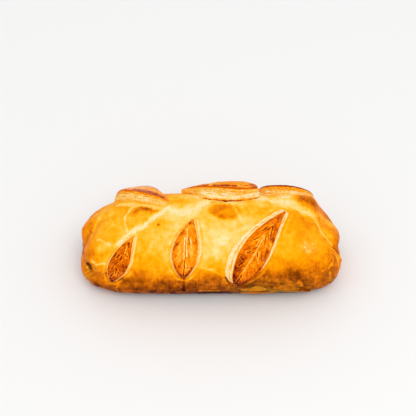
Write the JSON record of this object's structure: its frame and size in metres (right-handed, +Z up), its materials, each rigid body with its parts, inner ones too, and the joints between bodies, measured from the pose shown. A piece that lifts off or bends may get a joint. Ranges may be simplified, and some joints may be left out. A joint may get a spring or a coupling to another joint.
{
  "type": "beef wellington",
  "caption": "Whole baked beef wellington: a puff pastry parcel with rounded, folded ends, a flat base and scored pastry leaves laid on its front and top.",
  "frame": {"origin": "on the surface it rests on, under the middle of the loaf's overall box", "axes": "+Z up; X along the loaf; -Y is the front, the side with three leaves that the picture looks down on"},
  "size_m": [0.2277, 0.0998, 0.0734],
  "materials": {
    "crust": "egg-washed golden puff pastry, satin, with pale splits and darker browned patches",
    "leaf_crust": "orange-brown egg-washed pastry tops with dark scored veins and pale flaky cut edges"
  },
  "bodies": {
    "root": {"loaf": "crust", "leaf_front_left": "leaf_crust", "leaf_front_middle": "leaf_crust", "leaf_front_right": "leaf_crust", "leaf_back_left": "leaf_crust", "leaf_back_middle": "leaf_crust", "leaf_back_right": "leaf_crust"}
  },
  "joints": []
}
